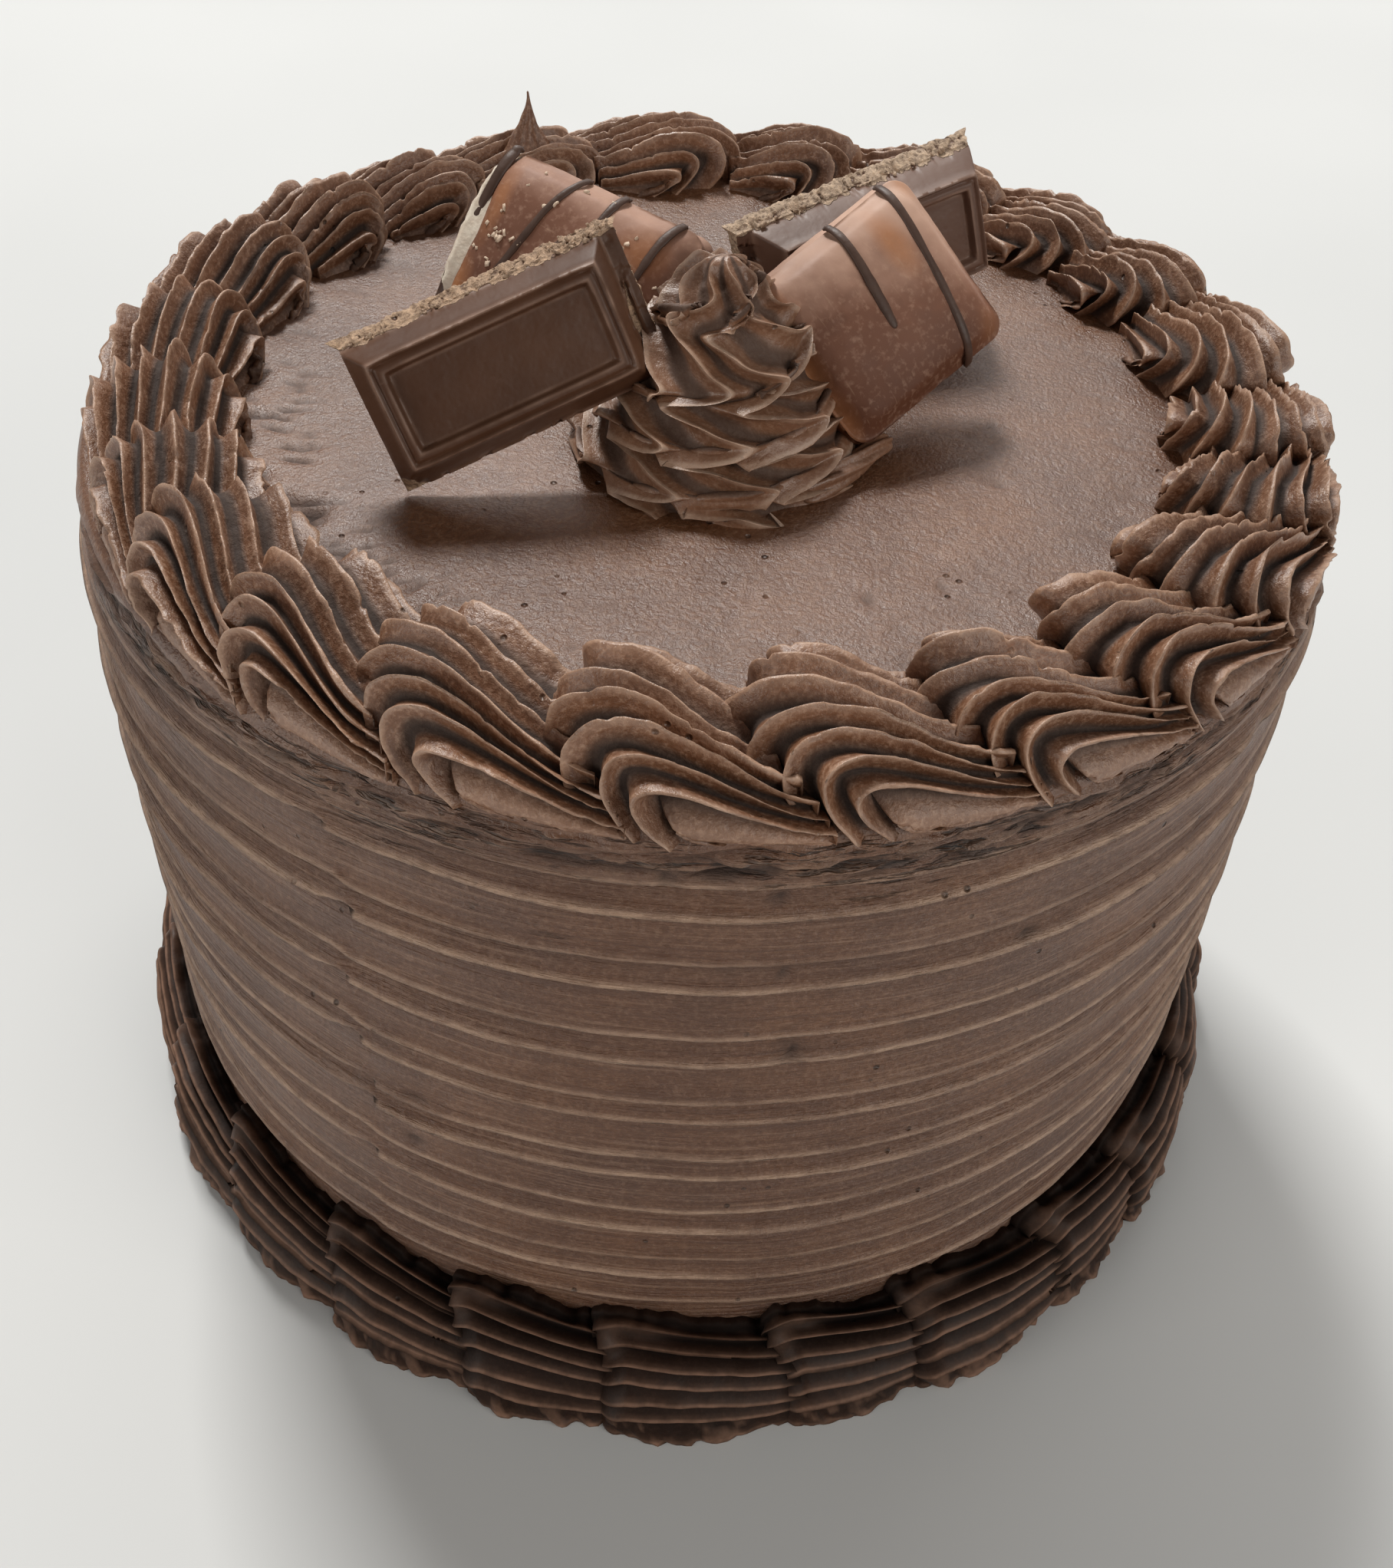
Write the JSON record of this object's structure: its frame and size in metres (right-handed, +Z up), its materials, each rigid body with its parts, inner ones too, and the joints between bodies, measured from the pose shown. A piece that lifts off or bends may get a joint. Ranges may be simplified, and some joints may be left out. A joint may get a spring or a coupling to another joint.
{
  "type": "layer cake",
  "caption": "Tall round chocolate layer cake with combed sides, a piped shell border round the top and a darker one round the foot, and a piped rosette with chocolate pieces on top.",
  "frame": {"origin": "centre of the cake's flat underside", "axes": "+Z up, square to the flat underside; -Y towards the cake's front, the side shown in the picture; +X to the right seen from the front"},
  "size_m": [0.1822, 0.1833, 0.1415],
  "materials": {
    "icing": "satin",
    "border_icing": "satin",
    "dark_icing": "satin",
    "rosette_icing": "satin",
    "bar_chocolate": "satin",
    "coating": "satin",
    "cream": "matte"
  },
  "bodies": {
    "root": {"bar_piece_front": "bar_chocolate", "bar_piece_rear": "bar_chocolate", "cake_body": "icing", "foot_shell_01": "dark_icing", "foot_shell_02": "dark_icing", "foot_shell_03": "dark_icing", "foot_shell_04": "dark_icing", "foot_shell_05": "dark_icing", "foot_shell_06": "dark_icing", "foot_shell_07": "dark_icing", "foot_shell_08": "dark_icing", "foot_shell_09": "dark_icing", "foot_shell_10": "dark_icing", "foot_shell_11": "dark_icing", "foot_shell_12": "dark_icing", "foot_shell_13": "dark_icing", "foot_shell_14": "dark_icing", "foot_shell_15": "dark_icing", "foot_shell_16": "dark_icing", "foot_shell_17": "dark_icing", "foot_shell_18": "dark_icing", "foot_shell_19": "dark_icing", "foot_shell_20": "dark_icing", "foot_shell_21": "dark_icing", "foot_shell_22": "dark_icing", "foot_shell_23": "dark_icing", "foot_shell_24": "dark_icing", "foot_shell_25": "dark_icing", "pillow_cream": "cream", "pillow_piece_left": "coating", "pillow_piece_right": "coating", "rosette": "rosette_icing", "top_shell_01": "border_icing", "top_shell_02": "border_icing", "top_shell_03": "border_icing", "top_shell_04": "border_icing", "top_shell_05": "border_icing", "top_shell_06": "border_icing", "top_shell_07": "border_icing", "top_shell_08": "border_icing", "top_shell_09": "border_icing", "top_shell_10": "border_icing", "top_shell_11": "border_icing", "top_shell_12": "border_icing", "top_shell_13": "border_icing", "top_shell_14": "border_icing", "top_shell_15": "border_icing", "top_shell_16": "border_icing", "top_shell_17": "border_icing", "top_shell_18": "border_icing", "top_shell_19": "border_icing", "top_shell_20": "border_icing", "top_shell_21": "border_icing", "top_shell_22": "border_icing", "top_shell_23": "border_icing"}
  },
  "joints": []
}
